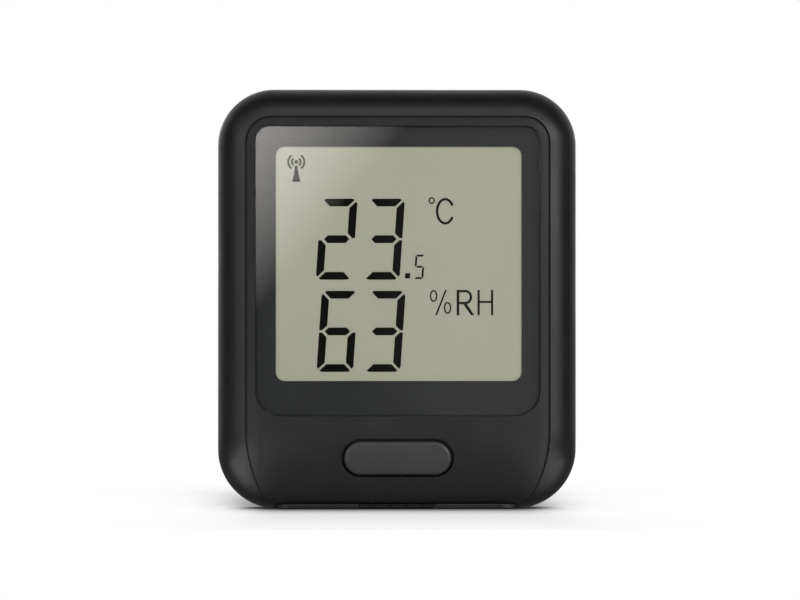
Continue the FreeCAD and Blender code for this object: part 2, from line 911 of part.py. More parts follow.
def contact_high():
    return window_foot - glass_margin - 2 * frame_fit


def lcd_frame():
    body = new_body("lcd_frame")
    half = window_width / 2 + glass_margin
    shelf = 2 * peg_side
    add(body, "block", board_front, glass_front, [glass_outline(frame_fit + frame_wall)])
    cut(body, "seat", reflector_back, glass_front + BEYOND, [glass_outline(frame_fit)])
    cut(body, "middle", board_front - BEYOND, glass_front,
        [centred(2 * (half - shelf), window_foot + shelf, window_top - shelf)])
    cut(body, "contact_slot", board_front - BEYOND, glass_front,
        [centred(window_width, contact_low(), contact_high())])
    add(body, "pegs", board_back - peg_out, board_front + frame_wall, circles(peg_places(), peg_radius))
    return body


def contact_strip():
    half = window_width / 2 - frame_fit
    return block("contact_strip", -half, half, board_front, glass_back,
                 contact_low() + frame_fit, contact_high() - frame_fit)


def main_board():
    body = new_body("main_board")
    half = half_width - board_side
    inner = half - board_notch
    low = board_foot + board_notch_height
    high = board_top - board_notch
    add(body, "plate", board_back, board_front, [[
        (-inner, board_foot),
        (inner, board_foot),
        (inner, low),
        (half, low),
        (half, high),
        (inner, high),
        (inner, board_top),
        (-inner, board_top),
        (-inner, high),
        (-half, high),
        (-half, low),
        (-inner, low),
    ]])
    cut(body, "screw_holes", board_back - BEYOND, board_front + BEYOND,
        circles(stand_places(), small_screw_radius + screw_fit))
    cut(body, "peg_holes", board_back - BEYOND, board_front + BEYOND,
        circles(peg_places(), peg_radius + peg_fit))
    return body


def switch_body():
    body = new_body("switch_body")
    half = switch_width / 2
    add(body, "block", board_front, switch_front,
        [square(-half, half, slot_middle - half, slot_middle + half)])
    cut(body, "bore", board_front + switch_floor, switch_front + BEYOND,
        [(Size(0), slot_middle, plunger_radius + plunger_fit)])
    return body


def switch_plunger():
    body = new_body("switch_plunger")
    add(body, "stem", board_front + switch_floor + button_travel + plunger_fit, plunger_front,
        [(Size(0), slot_middle, plunger_radius)])
    return body


def button_cap():
    face_body = new_body("button_cap_face")
    width = slot_width - 2 * button_gap
    height = slot_height - 2 * button_gap
    add(face_body, "block", plunger_front, face, [stadium(Size(0), slot_middle, width, height)])
    crest = panel_face - button_sink
    crest_z = slot_middle + button_crest
    low = slot_middle - slot_height
    high = slot_middle + slot_height
    low_fall = crest_z - low
    high_rise = high - crest_z
    low_forward = crest - button_curve + root(button_curve * button_curve - low_fall * low_fall)
    high_forward = crest - button_curve + root(button_curve * button_curve - high_rise * high_rise)
    ahead = -(face + BEYOND)
    cut_across(face_body, "crown", [
        (-high_forward, high, button_curve - crest, crest_z),
        (-low_forward, low),
        (ahead, low),
        (ahead, high),
    ], case_width)
    round_edges(face_body, "edge", button_edge, is_cap_edge)
    flange = new_body("button_cap_flange")
    wide = slot_width + 2 * button_flange
    tall = slot_height + 2 * button_flange
    add(flange, "block", skirt_end, panel_back - button_fit, [stadium(Size(0), slot_middle, wide, tall)])
    cut_across(flange, "chin", chin_outline(panel_face, shell_wall + button_fit, 0), case_width + BEYOND)
    hollow = new_body("button_cap_hollow")
    add(hollow, "space", skirt_end - BEYOND, plunger_front,
        [stadium(Size(0), slot_middle, slot_width - 2 * cap_wall, switch_width + 2 * switch_room)])
    return joined("button_cap", [face_body, cut_away("button_cap_skirt", flange, hollow)])


def is_cap_edge(edge):
    """An edge of the cap's crowned face."""
    spot = middle(edge)
    rise = spot.z - now(slot_middle + button_crest)
    reach = math.hypot(-spot.y - now(panel_face - button_sink - button_curve), rise)
    return near(reach, now(button_curve))


def usb_socket():
    body = new_body("usb_socket")
    half = socket_width / 2
    add(body, "shell", socket_back, socket_front,
        [square(-half, half, socket_foot, socket_foot + socket_tall)])
    cut(body, "mouth", socket_back + socket_wall, socket_front - socket_wall,
        [square(socket_wall - half, half - socket_wall, socket_foot - BEYOND,
                socket_foot + socket_tall - 2 * socket_wall)])
    tongue_back = socket_front - socket_wall - 2 * tongue_thick
    add(body, "tongue", tongue_back, tongue_back + tongue_thick,
        [square(-tongue_wide / 2, tongue_wide / 2, socket_foot + tongue_rise,
                socket_foot + socket_tall - socket_wall)])
    return body


def usb_bung():
    """Rubber bung: a ribbed pad that fills the notch, and a tongue in the socket's mouth."""
    body = new_body("usb_bung")
    low_top = ledge_top - bung_gap
    high_top = shell_wall - bung_gap
    add(body, "pad", bung_lift, low_top, [notch_outline(bung_gap, ledge_front - bung_gap)], "XY_Plane")
    add(body, "seat", bung_lift, high_top, [notch_outline(bung_gap, flange_front - bung_gap)], "XY_Plane")
    half = socket_width / 2 - socket_wall - bung_fit
    tongue_back = socket_front - socket_wall - 2 * tongue_thick
    add(body, "plug", bung_lift, socket_foot + bung_plug,
        [square(-half, half, bung_fit - tongue_back, -(socket_back + socket_wall + bung_fit))], "XY_Plane")
    grooves = []
    for number in range(RIBS):
        middle_x = (number - (RIBS - 1) / 2) * rib_pitch
        grooves.append(square(middle_x - rib_wide / 2, middle_x + rib_wide / 2,
                              -(ledge_front + BEYOND), -(ledge_front - bung_gap - rib_deep)))
    cut(body, "ribs", bung_lift - BEYOND, low_top + BEYOND, grooves, "XY_Plane")
    return body


def vent_membrane():
    left = vent_middle - VENTS * vent_pitch / 2 - membrane_edge
    right = vent_middle + VENTS * vent_pitch / 2 + membrane_edge
    return block("vent_membrane", left, right, vent_forward - vent_length / 2 - membrane_edge,
                 vent_forward + vent_length / 2 + membrane_edge, shell_wall, shell_wall + membrane_thick)


def sensor_board():
    return block("sensor_board", vent_middle - sensor_width / 2, vent_middle + sensor_width / 2,
                 board_back - sensor_deep, board_back, sensor_height, sensor_height + sensor_thick)


def humidity_sensor():
    middle_f = board_back - sensor_deep / 2
    half = sensor_chip / 2
    return block("humidity_sensor", vent_middle - half, vent_middle + half, middle_f - half, middle_f + half,
                 sensor_height - sensor_chip_tall, sensor_height)


def sensor_header():
    low = sensor_height + sensor_thick
    return block("sensor_header", vent_middle - header_width / 2, vent_middle + header_width / 2,
                 board_back - header_tall, board_back, low, low + header_tall)


def battery_cell():
    body = new_body("battery_cell")
    half = battery_width / 2
    add(body, "pouch", battery_back, battery_front, [square(-half, half, battery_foot, battery_top)])
    round_edges(body, "round", battery_round, lambda edge: near(middle(edge).z, now(battery_foot))
                and near(edge.Vertexes[0].Point.y, edge.Vertexes[-1].Point.y))
    return body


def battery_tape():
    half = battery_width / 2 - tape_edge
    return block("battery_tape", -half, half, inside, battery_back,
                 battery_foot + tape_edge, battery_top - tape_edge)


def battery_tab():
    left = -tab_side - tab_width
    middle_f = (battery_back + battery_front) / 2
    return block("battery_tab", left, -tab_side, middle_f - tab_thick / 2, middle_f + tab_thick / 2,
                 battery_top, battery_top + tab_height)


def lead_middle():
    return -tab_side - tab_width / 2


def battery_leads():
    """Two leads from the cell's tab to the plug, each up, round a quarter bend and forward."""
    leads = []
    middle_f = (battery_back + battery_front) / 2
    start = battery_top + tab_height
    bend_z = start + lead_start
    plug_back = board_back - plug_tall
    for sign in MIRROR:
        x = now(lead_middle() + sign * lead_pitch / 2)
        radius = now(lead_bend)
        y = -now(middle_f)
        corner = FreeCAD.Vector(x, y - radius, now(bend_z))
        first = Part.LineSegment(FreeCAD.Vector(x, y, now(start)), FreeCAD.Vector(x, y, now(bend_z)))
        turn = Part.Arc(FreeCAD.Vector(x, y, now(bend_z)),
                        corner + FreeCAD.Vector(0, radius / math.sqrt(2), radius / math.sqrt(2)),
                        corner + FreeCAD.Vector(0, 0, radius))
        last = Part.LineSegment(corner + FreeCAD.Vector(0, 0, radius),
                                FreeCAD.Vector(x, -now(plug_back), now(bend_z) + radius))
        path = Part.Wire([first.toShape(), turn.toShape(), last.toShape()])
        ring = Part.Wire(Part.Circle(FreeCAD.Vector(x, y, now(start)), FreeCAD.Vector(0, 0, 1),
                                     now(lead_radius)).toShape())
        leads.append(path.makePipeShell([ring], True, False))
    feature = doc.addObject("Part::Feature", "battery_leads")
    feature.Shape = Part.makeCompound(leads)
    return feature


def battery_plug():
    middle_x = lead_middle()
    level = battery_top + tab_height + lead_start + lead_bend
    return block("battery_plug", middle_x - plug_width / 2, middle_x + plug_width / 2,
                 board_back - plug_tall, board_back, level - plug_height / 2, level + plug_height / 2)


def radio_module():
    return block("radio_module", radio_left, radio_left + radio_width, board_back - radio_thick, board_back,
                 radio_foot, radio_foot + radio_height)


def shield_can():
    rear = board_back - radio_thick
    return block("shield_can", radio_left + can_edge, radio_left + radio_width - can_edge,
                 rear - can_tall, rear, radio_foot + can_edge, radio_foot + can_edge + can_height)


def radio_antenna():
    rear = board_back - radio_thick
    middle_x = radio_left + radio_width / 2
    high = radio_foot + radio_height - antenna_edge
    return block("radio_antenna", middle_x - antenna_width / 2, middle_x + antenna_width / 2,
                 rear - antenna_tall, rear, high - antenna_height, high)


def processor_chip():
    half = processor_width / 2
    return block("processor_chip", -processor_side - half, half - processor_side,
                 board_back - processor_tall, board_back, processor_height - half, processor_height + half)


def memory_chip():
    return block("memory_chip", memory_side, memory_side + memory_width, board_back - memory_tall, board_back,
                 memory_level, memory_level + memory_height)


def clock_crystal():
    middle_z = processor_height + processor_width / 2 + crystal_gap
    return block("clock_crystal", -processor_side - crystal_width / 2, crystal_width / 2 - processor_side,
                 board_back - crystal_tall, board_back, middle_z, middle_z + crystal_height)


def screw_set(name, places, shank_radius, bearing, tip, head_round, head_deep):
    """Equal screws at the given places, with heads behind their bearing plane."""
    body = new_body(name)
    add(body, "shanks", bearing, tip, circles(places, shank_radius))
    add(body, "heads", bearing - head_deep, bearing, circles(places, head_round))
    rear = bearing - head_deep
    slots = []
    for x, z in places:
        slots.append(square(x - drive_radius, x + drive_radius, z - drive_wide / 2, z + drive_wide / 2))
    cut(body, "drive", rear - BEYOND, rear + drive_deep, slots)
    slots = []
    for x, z in places:
        slots.append(square(x - drive_wide / 2, x + drive_wide / 2, z - drive_radius, z + drive_radius))
    cut(body, "cross", rear - BEYOND, rear + drive_deep, slots)
    return body


def case_screws():
    return screw_set("case_screws", screw_places(), screw_radius, back + head_sink, seam + screw_bite,
                     head_radius, head_tall)


def board_screws():
    return screw_set("board_screws", stand_places(), small_screw_radius, board_back,
                     board_front + small_screw_bite, small_head_radius, small_head_tall)


sub_parts = [
    frame_ring(),
    front_cover(),
    rear_cover(),
    front_gasket(),
    rear_gasket(),
    display_window(),
    window_mask(),
    display_gasket(),
    lcd_glass(),
    lcd_reflector(),
    lcd_frame(),
    contact_strip(),
    main_board(),
    switch_body(),
    switch_plunger(),
    button_cap(),
    usb_socket(),
    usb_bung(),
    vent_membrane(),
    sensor_board(),
    humidity_sensor(),
    sensor_header(),
    battery_cell(),
    battery_tape(),
    battery_tab(),
    battery_leads(),
    battery_plug(),
    radio_module(),
    shield_can(),
    radio_antenna(),
    processor_chip(),
    memory_chip(),
    clock_crystal(),
    case_screws(),
    board_screws(),
]

doc.recompute()

for thing in doc.Objects:
    if "Invalid" in thing.State or "Error" in thing.State:
        raise RuntimeError(thing.Name + " failed: " + ", ".join(thing.State))
for feature in cuts:
    if feature.Shape.Volume > feature.BaseFeature.Shape.Volume - 1e-3:
        raise RuntimeError(feature.Name + " removes nothing")
for part in sub_parts:
    if part.Shape.isNull() or not part.Shape.isValid():
        raise RuntimeError(part.Label + " has no valid shape")

os.makedirs("parts", exist_ok=True)
for part in sub_parts:
    part.Shape.exportStep("parts/" + part.Label + ".step")
    print(part.Label, len(part.Shape.Solids), round(part.Shape.Volume, 1))
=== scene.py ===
import math

import bmesh
import bpy
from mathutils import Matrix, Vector


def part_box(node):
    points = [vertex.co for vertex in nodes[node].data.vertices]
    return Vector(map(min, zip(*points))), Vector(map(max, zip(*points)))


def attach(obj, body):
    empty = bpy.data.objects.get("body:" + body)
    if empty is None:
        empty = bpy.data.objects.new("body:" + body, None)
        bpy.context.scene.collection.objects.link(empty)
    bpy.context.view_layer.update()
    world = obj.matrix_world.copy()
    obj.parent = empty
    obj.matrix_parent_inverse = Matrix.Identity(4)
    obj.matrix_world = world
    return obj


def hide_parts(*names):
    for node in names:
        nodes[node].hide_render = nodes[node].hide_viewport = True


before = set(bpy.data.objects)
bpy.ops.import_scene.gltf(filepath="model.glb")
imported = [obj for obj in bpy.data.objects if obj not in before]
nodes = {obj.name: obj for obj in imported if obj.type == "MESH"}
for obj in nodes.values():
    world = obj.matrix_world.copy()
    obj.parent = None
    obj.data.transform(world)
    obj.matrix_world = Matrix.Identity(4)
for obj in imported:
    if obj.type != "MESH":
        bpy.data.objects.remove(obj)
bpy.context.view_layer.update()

MM = 0.001
HOUSING = "housing"


# Places taken from the frame

case_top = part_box("frame_ring")[1].z
pane_low, pane_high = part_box("display_window")
print_low, print_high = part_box("window_mask")
cell_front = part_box("lcd_glass")[0].y
middle = Vector((0, 0, case_top / 2))


# Materials

def colour(red, green, blue):
    """Linear colour of an sRGB colour given in steps of 255."""
    def linear(step):
        part = step / 255
        return part / 12.92 if part <= 0.04045 else ((part + 0.055) / 1.055) ** 2.4
    return (linear(red), linear(green), linear(blue), 1)


class Nodes:
    """The shader nodes of a material, or of the world."""

    def __init__(self, holder):
        holder.use_nodes = True
        self.tree = holder.node_tree

    def node(self, kind, **settings):
        made = self.tree.nodes.new(kind)
        for name, value in settings.items():
            setattr(made, name, value)
        return made

    def join(self, start, end):
        self.tree.links.new(start, end)

    def feed(self, socket, value):
        """Gives a socket a value, or what another socket gives."""
        if isinstance(value, bpy.types.NodeSocket):
            self.join(value, socket)
        else:
            socket.default_value = value

    def combine(self, operation, first, second=0.0):
        """One step of arithmetic on two numbers or sockets."""
        made = self.node("ShaderNodeMath", operation=operation)
        self.feed(made.inputs[0], first)
        self.feed(made.inputs[1], second)
        return made.outputs[0]

    def mixed(self, share, first, second):
        """Mixes two shaders, by the share of the second."""
        made = self.node("ShaderNodeMixShader")
        for source, socket in zip((share, first, second), made.inputs):
            self.join(source, socket)
        return made.outputs[0]


class Finish(Nodes):
    """A material's nodes around one Principled shader."""

    def __init__(self, name):
        self.material = bpy.data.materials.new(name)
        super().__init__(self.material)
        self.shader = self.tree.nodes["Principled BSDF"]
        self.output = self.tree.nodes["Material Output"]
        self.place = self.node("ShaderNodeTexCoord").outputs["Object"]

    def set(self, **values):
        for name, value in values.items():
            self.shader.inputs[name.replace("_", " ")].default_value = value

    def stretched(self, factors):
        """The object's place, with each axis scaled."""
        made = self.node("ShaderNodeVectorMath", operation="MULTIPLY")
        self.join(self.place, made.inputs[0])
        made.inputs[1].default_value = factors
        return made.outputs[0]

    def noise(self, size, detail=2.0, place=None):
        """Noise whose features are about the given size across, in metres."""
        made = self.node("ShaderNodeTexNoise")
        made.inputs["Scale"].default_value = 1 / size
        made.inputs["Detail"].default_value = detail
        self.join(place or self.place, made.inputs["Vector"])
        return made.outputs["Fac"]

    def spread(self, source, low, high, start=0.3, end=0.7):
        """Maps a source from start..end to low..high."""
        made = self.node("ShaderNodeMapRange")
        for name, value in (("From Min", start), ("From Max", end), ("To Min", low), ("To Max", high)):
            made.inputs[name].default_value = value
        self.join(source, made.inputs["Value"])
        return made.outputs["Result"]

    def blend(self, factor, first, second):
        """Mixes two colours, or a colour and a socket, by a factor."""
        made = self.node("ShaderNodeMix", data_type="RGBA")
        self.join(factor, made.inputs["Factor"])
        self.feed(made.inputs["A"], first)
        self.feed(made.inputs["B"], second)
        return made.outputs["Result"]

    def relief(self, source, depth, under=None):
        """Bump of the given depth in metres, on top of another bump."""
        made = self.node("ShaderNodeBump")
        made.inputs["Distance"].default_value = depth
        made.inputs["Strength"].default_value = 1.0
        self.join(source, made.inputs["Height"])
        if under is not None:
            self.join(under, made.inputs["Normal"])
        return made.outputs["Normal"]


def scaled(tint, factor):
    """A colour with each part multiplied."""
    return (tint[0] * factor, tint[1] * factor, tint[2] * factor, 1)


# Moulded parts: the size of the slow waves in the wall, and how much deeper than the grain they are
WAVE_SIZE = 14 * MM
WAVE_DEPTH = 6
# The size of the patches of handling, and how far they change the colour and the roughness
HANDLING_SIZE = 9 * MM
HANDLING_TINT = 0.07
HANDLING_SHEEN = 0.05


def moulding(name, tint, roughness, grain, depth, specular=0.5):
    """Moulded plastic or rubber: fine grain, slow waves in the wall and patches of handling."""
    finish = Finish(name)
    finish.set(Specular_IOR_Level=specular)
    grains = finish.noise(grain, 3.0)
    waves = finish.noise(WAVE_SIZE, 1.0)
    handling = finish.noise(HANDLING_SIZE, 4.0)
    darker, lighter = scaled(tint, 1 - HANDLING_TINT), scaled(tint, 1 + HANDLING_TINT)
    finish.join(finish.blend(finish.spread(handling, 0, 1), darker, lighter),
                finish.shader.inputs["Base Color"])
    finish.join(finish.spread(handling, roughness - HANDLING_SHEEN, roughness + HANDLING_SHEEN),
                finish.shader.inputs["Roughness"])
    finish.join(finish.relief(grains, depth, finish.relief(waves, WAVE_DEPTH * depth)),
                finish.shader.inputs["Normal"])
    return finish.material


# Metal: how its marks stretch along X, Y and Z, how far they change the roughness, and the
# share of the colour that its darker clouds keep
MARK_STRETCH = (0.06, 1, 1)
MARK_SHEEN = (-0.08, 0.12)
CLOUD_TINT = 0.9


def metal(name, tint, roughness, brush):
    """Sheet or turned metal with marks drawn along X."""
    finish = Finish(name)
    finish.set(Metallic=1.0)
    marks = finish.noise(brush, 4.0, finish.stretched(MARK_STRETCH))
    cloud = finish.noise(2 * MM, 3.0)
    finish.join(finish.blend(finish.spread(cloud, 0, 1), scaled(tint, CLOUD_TINT), tint),
                finish.shader.inputs["Base Color"])
    smoothest, roughest = (roughness + change for change in MARK_SHEEN)
    finish.join(finish.spread(marks, smoothest, roughest), finish.shader.inputs["Roughness"])
    finish.join(finish.relief(marks, 3e-6), finish.shader.inputs["Normal"])
    return finish.material


# Ink: how far its colour and its roughness change
INK_TINT = 0.03
INK_SHEEN = 0.02


def printed(name, tint, roughness, specular):
    """A smooth film of ink: only its sheen and depth of colour change, slowly."""
    finish = Finish(name)
    finish.set(Specular_IOR_Level=specular)
    cloud = finish.noise(11 * MM, 2.0)
    darker, lighter = scaled(tint, 1 - INK_TINT), scaled(tint, 1 + INK_TINT)
    finish.join(finish.blend(finish.spread(cloud, 0, 1), darker, lighter),
                finish.shader.inputs["Base Color"])
    finish.join(finish.spread(cloud, roughness - INK_SHEEN, roughness + INK_SHEEN),
                finish.shader.inputs["Roughness"])
    return finish.material


# The length of one wave in a wave texture whose scale is 1
WAVE_LENGTH = math.pi / 10


def striped(name, dark, light, pitch):
    """Conductive rubber strip: thin dark layers across pale rubber, each as thick as the pitch."""
    finish = Finish(name)
    finish.set(Roughness=0.6)
    wave = finish.node("ShaderNodeTexWave", bands_direction="X")
    wave.inputs["Scale"].default_value = WAVE_LENGTH / (2 * pitch)
    finish.join(finish.place, wave.inputs["Vector"])
    finish.join(finish.blend(wave.outputs["Fac"], dark, light), finish.shader.inputs["Base Color"])
    finish.join(finish.relief(finish.noise(0.15 * MM), 5e-6), finish.shader.inputs["Normal"])
    return finish.material


# Board tracks: the size of the cells that they run between, how the cells stretch along X, Y
# and Z, and the distances from a cell's middle between which a track ends
TRACK_CELL = 2.4 * MM
TRACK_STRETCH = (1, 0.001, 0.35)
TRACK_EDGE = (0.30, 0.34)


def solder_mask(name):
    """Green board: glossy mask over copper tracks that run up and down in a grid of cells."""
    finish = Finish(name)
    finish.set(Roughness=0.28)
    cells = finish.node("ShaderNodeTexVoronoi", feature="F1", distance="CHEBYCHEV")
    cells.inputs["Scale"].default_value = 1 / TRACK_CELL
    finish.join(finish.stretched(TRACK_STRETCH), cells.inputs["Vector"])
    track = finish.spread(cells.outputs["Distance"], 1, 0, *TRACK_EDGE)
    mask = finish.blend(track, colour(12, 74, 40), colour(24, 104, 58))
    cloud = finish.noise(5 * MM, 3.0)
    finish.join(finish.blend(finish.spread(cloud, 0, 0.25), mask, colour(8, 56, 32)),
                finish.shader.inputs["Base Color"])
    finish.join(finish.relief(track, 2e-5), finish.shader.inputs["Normal"])
    return finish.material


def crinkled(name):
    """Laminated pouch foil with shallow crinkles."""
    finish = Finish(name)
    finish.set(Metallic=0.85, Roughness=0.35)
    folds = finish.noise(4 * MM, 5.0)
    finish.join(finish.blend(finish.spread(folds, 0, 1), colour(178, 180, 184), colour(206, 208, 210)),
                finish.shader.inputs["Base Color"])
    finish.join(finish.relief(folds, 6e-5), finish.shader.inputs["Normal"])
    return finish.material


# Share of light that one face of acrylic mirrors head on, and how steeply it rises to all at the edge
HEAD_ON = 0.0387
STEEPNESS = 5
# What passes through it
PANE_TINT = (0.985, 0.99, 0.985, 1)


def clear_pane(name):
    """Thin clear acrylic: what is behind shows through, and the surface mirrors by Fresnel."""
    finish = Finish(name)
    finish.tree.nodes.remove(finish.shader)
    clear = finish.node("ShaderNodeBsdfTransparent")
    clear.inputs["Color"].default_value = PANE_TINT
    shine = finish.node("ShaderNodeBsdfGlossy")
    shine.inputs["Roughness"].default_value = 0.0
    finish.join(finish.relief(finish.noise(12 * MM, 1.0), 1.2e-6), shine.inputs["Normal"])
    facing = finish.node("ShaderNodeLayerWeight").outputs["Facing"]
    steep = finish.combine("POWER", facing, STEEPNESS)
    share = finish.combine("ADD", finish.combine("MULTIPLY", steep, 1 - HEAD_ON), HEAD_ON)
    finish.join(finish.mixed(share, clear.outputs[0], shine.outputs[0]), finish.output.inputs["Surface"])
    return finish.material


def display_face(name):
    """Front of the liquid crystal cell: grey-green with the reflector's fine sparkle."""
    finish = Finish(name)
    finish.set(Specular_IOR_Level=0.4)
    sparkle = finish.noise(0.12 * MM, 2.0)
    cloud = finish.noise(16 * MM, 2.0)
    ground = finish.blend(finish.spread(cloud, 0, 1), colour(177, 175, 157), colour(181, 179, 161))
    finish.join(finish.blend(finish.spread(sparkle, 0, 0.25), ground, colour(200, 198, 182)),
                finish.shader.inputs["Base Color"])
    finish.join(finish.spread(sparkle, 0.10, 0.13), finish.shader.inputs["Roughness"])
    return finish.material


case_black = moulding("case_black", colour(15, 15, 16), 0.40, 0.35 * MM, 1.2e-6, specular=0.45)
panel_black = moulding("panel_black", colour(19, 19, 19), 0.44, 0.30 * MM, 1.0e-6, specular=0.45)
button_black = moulding("button_black", colour(52, 52, 52), 0.42, 0.28 * MM, 1.5e-6)
rubber_black = moulding("rubber_black", colour(12, 12, 12), 0.66, 0.22 * MM, 4e-6, specular=0.25)
foam_black = moulding("foam_black", colour(22, 22, 23), 0.9, 0.25 * MM, 4e-5, specular=0.2)
mask_black = printed("mask_black", colour(55, 55, 56), 0.42, 0.0)
white_plastic = moulding("white_plastic", colour(222, 222, 218), 0.42, 0.3 * MM, 2e-6)
display_film = moulding("display_film", colour(196, 196, 190), 0.5, 0.12 * MM, 3e-6)
chip_black = moulding("chip_black", colour(34, 34, 36), 0.55, 0.08 * MM, 4e-6)
lead_red = moulding("lead_plastic", colour(168, 26, 24), 0.38, 0.4 * MM, 2e-6)
ceramic = moulding("ceramic", colour(232, 230, 222), 0.35, 0.1 * MM, 2e-6)
membrane_white = moulding("membrane_white", colour(236, 236, 236), 0.8, 0.06 * MM, 8e-6)
segment_black = printed("segment_black", colour(5, 5, 3), 0.5, 0.1)
bright_metal = metal("bright_metal", colour(205, 205, 203), 0.28, 0.3 * MM)
screw_metal = metal("screw_metal", colour(92, 92, 95), 0.34, 0.2 * MM)
display_cell = display_face("display_cell")
window_clear = clear_pane("window_clear")
contact_rubber = striped("contact_rubber", colour(40, 40, 44), colour(196, 190, 198), 0.1 * MM)
board_green = solder_mask("board_green")
battery_foil = crinkled("battery_foil")

dressed = {
    "frame_ring": case_black,
    "rear_cover": case_black,
    "front_cover": panel_black,
    "button_cap": button_black,
    "usb_bung": rubber_black,
    "front_gasket": foam_black,
    "rear_gasket": rubber_black,
    "display_gasket": foam_black,
    "lcd_glass": display_cell,
    "lcd_reflector": display_film,
    "lcd_frame": white_plastic,
    "contact_strip": contact_rubber,
    "main_board": board_green,
    "sensor_board": board_green,
    "radio_module": board_green,
    "switch_body": chip_black,
    "switch_plunger": white_plastic,
    "usb_socket": bright_metal,
    "shield_can": bright_metal,
    "clock_crystal": bright_metal,
    "radio_antenna": ceramic,
    "vent_membrane": membrane_white,
    "humidity_sensor": chip_black,
    "sensor_header": chip_black,
    "processor_chip": chip_black,
    "memory_chip": chip_black,
    "battery_cell": battery_foil,
    "battery_tape": foam_black,
    "battery_tab": chip_black,
    "battery_leads": lead_red,
    "battery_plug": white_plastic,
    "case_screws": screw_metal,
    "board_screws": screw_metal,
    "display_window": window_clear,
    "window_mask": mask_black,
}
for node_name, finish in dressed.items():
    thing = nodes[node_name]
    if not thing.material_slots:
        thing.data.materials.append(finish)
    for holder in thing.material_slots:
        holder.material = finish


# Pieces made here

def piece(name, mesh, finish, body):
    made = bpy.data.objects.new(name, mesh)
    bpy.context.scene.collection.objects.link(made)
    made.data.materials.append(finish)
    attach(made, body)
    return made


def rounded_loop(half, low, high, low_radius, high_radius, inset, steps=10):
    """A rounded oblong in X and Z, from its lower right corner round to the left."""
    corners = (
        (half - low_radius, low + low_radius, low_radius, -90),
        (half - high_radius, high - high_radius, high_radius, 0),
        (high_radius - half, high - high_radius, high_radius, 90),
        (low_radius - half, low + low_radius, low_radius, 180),
    )
    points = []
    for x, z, radius, start in corners:
        for step in range(steps + 1):
            angle = math.radians(start + 90 * step / steps)
            reach = radius - inset
            points.append((x + reach * math.cos(angle), z + reach * math.sin(angle)))
    return points


def bridge(mesh, first, second):
    """Faces between two loops of vertices with the same count."""
    count = len(first)
    for number in range(count):
        follow = (number + 1) % count
        mesh.faces.new((first[number], first[follow], second[follow], second[number]))


def ring_at(mesh, points, y):
    """Vertices at points in X and Z, all at one Y."""
    return [mesh.verts.new((x, y, z)) for x, z in points]


def slab(mesh, points, front_y, rear_y):
    """A flat piece with the given outline."""
    front = ring_at(mesh, points, front_y)
    rear = ring_at(mesh, points, rear_y)
    mesh.faces.new(front)
    mesh.faces.new(rear)
    bridge(mesh, front, rear)


def border(mesh, outer, inner, front_y, rear_y):
    """A flat piece between two outlines."""
    rows = [ring_at(mesh, points, y) for points, y in (
        (outer, front_y), (outer, rear_y), (inner, rear_y), (inner, front_y))]
    for first, second in zip(rows, rows[1:] + rows[:1]):
        bridge(mesh, first, second)


def finished(mesh, name):
    """The mesh with its faces turned outward."""
    bmesh.ops.recalc_face_normals(mesh, faces=mesh.faces)
    data = bpy.data.meshes.new(name)
    mesh.to_mesh(data)
    mesh.free()
    return data


# The window's upper and lower corners, and the round along its front edge
LENS_CORNER = 2.7 * MM
LENS_FOOT_CORNER = 4.9 * MM
LENS_EDGE = 0.05 * MM
EDGE_STEPS = 4
# The clear opening: half its width, its foot, top and corners, and how far it stands to the right
WINDOW_HALF = 23.97 * MM
WINDOW_LOW = 25.1 * MM
WINDOW_HIGH = 70.75 * MM
WINDOW_CORNER = 1.8 * MM
WINDOW_ASIDE = 0.2 * MM


def lens_loop(inset):
    return rounded_loop(pane_high.x, pane_low.z, pane_high.z, LENS_FOOT_CORNER, LENS_CORNER, inset)


def window_loop(margin):
    """The outline of the clear opening, made larger by a margin."""
    points = rounded_loop(WINDOW_HALF + margin, WINDOW_LOW - margin, WINDOW_HIGH + margin,
                          WINDOW_CORNER, WINDOW_CORNER, 0)
    return [(x + WINDOW_ASIDE, z) for x, z in points]


def window_pane():
    """The display window, with a small round along its front edge."""
    mesh = bmesh.new()
    front = pane_low.y
    rows = [ring_at(mesh, lens_loop(0), pane_high.y)]
    for step in range(EDGE_STEPS + 1):
        angle = math.radians(90 * step / EDGE_STEPS)
        inset = LENS_EDGE * (1 - math.cos(angle))
        rows.append(ring_at(mesh, lens_loop(inset), front + LENS_EDGE * (1 - math.sin(angle))))
    for first, second in zip(rows, rows[1:]):
        bridge(mesh, first, second)
    mesh.faces.new(rows[0])
    mesh.faces.new(rows[-1])
    return finished(mesh, "window_pane")


# How far the print stands behind the pane, and in from the pane's edge
PRINT_GAP = 0.02 * MM
PRINT_MARGIN = 0.12 * MM


def window_print():
    """The black print behind the window, with the opening over the display."""
    mesh = bmesh.new()
    border(mesh, lens_loop(PRINT_MARGIN), window_loop(0), print_low.y + PRINT_GAP, print_high.y)
    return finished(mesh, "window_print")


pane = piece("window_pane", window_pane(), window_clear, HOUSING)
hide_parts("display_window")
mask = piece("window_print", window_print(), mask_black, HOUSING)
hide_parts("window_mask")


# The cell's raised front, which fills the cover's opening up to the print

# How far it stands behind the print, and out past the clear opening
FACE_GAP = 0.05 * MM
FACE_MARGIN = 0.4 * MM
face_y = print_high.y + FACE_GAP


def display_front():
    mesh = bmesh.new()
    slab(mesh, window_loop(FACE_MARGIN), face_y, cell_front)
    return finished(mesh, "display_front")


piece("display_front", display_front(), display_cell, HOUSING)


# Signs on the display, drawn in millimetres on its front

# Thickness of the signs, and how far the digits lean for each millimetre up
FILM = 0.02 * MM
SLANT = 0.0675


def in_metres(points):
    return [(x * MM, z * MM) for x, z in points]


